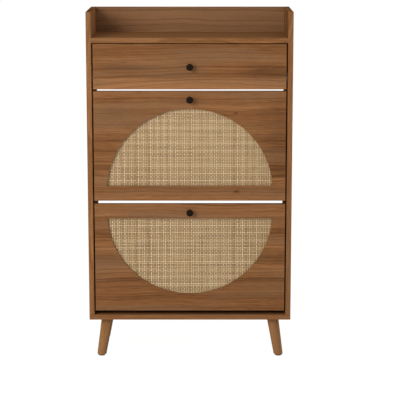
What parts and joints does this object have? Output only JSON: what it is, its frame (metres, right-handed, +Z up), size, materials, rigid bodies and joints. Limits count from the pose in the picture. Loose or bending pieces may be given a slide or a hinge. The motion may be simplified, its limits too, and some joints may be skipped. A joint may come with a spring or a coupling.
{
  "type": "shoe cabinet",
  "caption": "Tall slim wooden shoe cabinet on splayed legs, with a gallery tray, a drawer on rollers and tilt-out doors with half-moon cane panels and shoe shelves behind.",
  "frame": {"origin": "on the floor, at the middle of the overall box in width and depth, knobs included", "axes": "+X to the right seen from the front, +Y to the back, so the front faces -Y, +Z up"},
  "size_m": [0.6, 0.261, 1.03],
  "materials": {
    "walnut_board": "satin walnut-look foil",
    "walnut_leg": "satin lacquer",
    "cane": "close woven cane",
    "backing_board": "raw fibreboard",
    "inner_board": "matt foil",
    "black_knob": "satin black",
    "steel": "zinc plated",
    "zinc_cam": "die cast zinc",
    "coated_rail": "pale powder coat",
    "moulded_plastic": "fine moulded texture",
    "nylon": "white nylon",
    "beech_dowel": "bare beech",
    "foot_pad": "soft black pad"
  },
  "bodies": {
    "carcass": {"bottom_panel": "walnut_board", "cam_bolts": "steel", "cam_locks": "zinc_cam", "drawer_divider": "walnut_board", "front_left_leg": "walnut_leg", "front_right_leg": "walnut_leg", "front_roller_axles": "steel", "left_cabinet_rail": "coated_rail", "left_side_panel": "walnut_board", "leg_glides": "foot_pad", "leg_hanger_bolts": "steel", "leg_insert_nuts": "steel", "lower_back_rail": "walnut_board", "mid_back_rail": "walnut_board", "pivot_plates": "moulded_plastic", "rear_left_leg": "walnut_leg", "rear_right_leg": "walnut_leg", "right_cabinet_rail": "coated_rail", "right_side_panel": "walnut_board", "stop_pegs": "moulded_plastic", "tray_shelf": "walnut_board", "upper_back_panel": "walnut_board", "wood_dowels": "beech_dowel"},
    "drawer": {"drawer_front": "walnut_board", "drawer_left_side": "inner_board", "drawer_right_side": "inner_board", "drawer_back": "inner_board", "drawer_bottom": "inner_board", "drawer_knob": "black_knob", "drawer_knob_screw": "steel", "drawer_cam_locks": "zinc_cam", "drawer_cam_bolts": "steel", "left_drawer_rail": "coated_rail", "right_drawer_rail": "coated_rail", "rear_roller_axles": "steel"},
    "front_rollers": {"front_rollers": "nylon"},
    "rear_rollers": {"rear_rollers": "nylon"},
    "upper_door": {"upper_door_backing": "backing_board", "upper_door_cane": "cane", "upper_door_heel_lips": "inner_board", "upper_door_knob": "black_knob", "upper_door_knob_screw": "steel", "upper_door_panel": "walnut_board", "upper_door_shelves": "inner_board", "upper_left_flip_frame": "moulded_plastic", "upper_right_flip_frame": "moulded_plastic"},
    "lower_door": {"lower_door_backing": "backing_board", "lower_door_cane": "cane", "lower_door_heel_lips": "inner_board", "lower_door_knob": "black_knob", "lower_door_knob_screw": "steel", "lower_door_panel": "walnut_board", "lower_door_shelves": "inner_board", "lower_left_flip_frame": "moulded_plastic", "lower_right_flip_frame": "moulded_plastic"}
  },
  "joints": [
    {"name": "drawer_slide", "type": "slide", "parent": "carcass", "child": "drawer", "axis": [0, -1, 0], "range_m": [0, 0.15]},
    {"name": "upper_door_tilt", "type": "hinge", "parent": "carcass", "child": "upper_door", "pos_m": [0, -0.0835, 0.5145], "axis": [1, 0, 0], "range_deg": [0, 55]},
    {"name": "lower_door_tilt", "type": "hinge", "parent": "carcass", "child": "lower_door", "pos_m": [0, -0.0835, 0.181], "axis": [1, 0, 0], "range_deg": [0, 55]},
    {"name": "front_rollers_turn", "type": "hinge", "parent": "carcass", "child": "front_rollers", "pos_m": [0, -0.0805, 0.83625], "axis": [1, 0, 0], "range_deg": [0, 1110]},
    {"name": "rear_rollers_turn", "type": "hinge", "parent": "drawer", "child": "rear_rollers", "pos_m": [0, 0.0875, 0.83625], "axis": [1, 0, 0], "range_deg": [0, 1110]}
  ],
  "couplings": [
    {"joint": "front_rollers_turn", "follows": "drawer_slide", "rad_per_m": 129.03},
    {"joint": "rear_rollers_turn", "follows": "drawer_slide", "rad_per_m": 129.03}
  ]
}
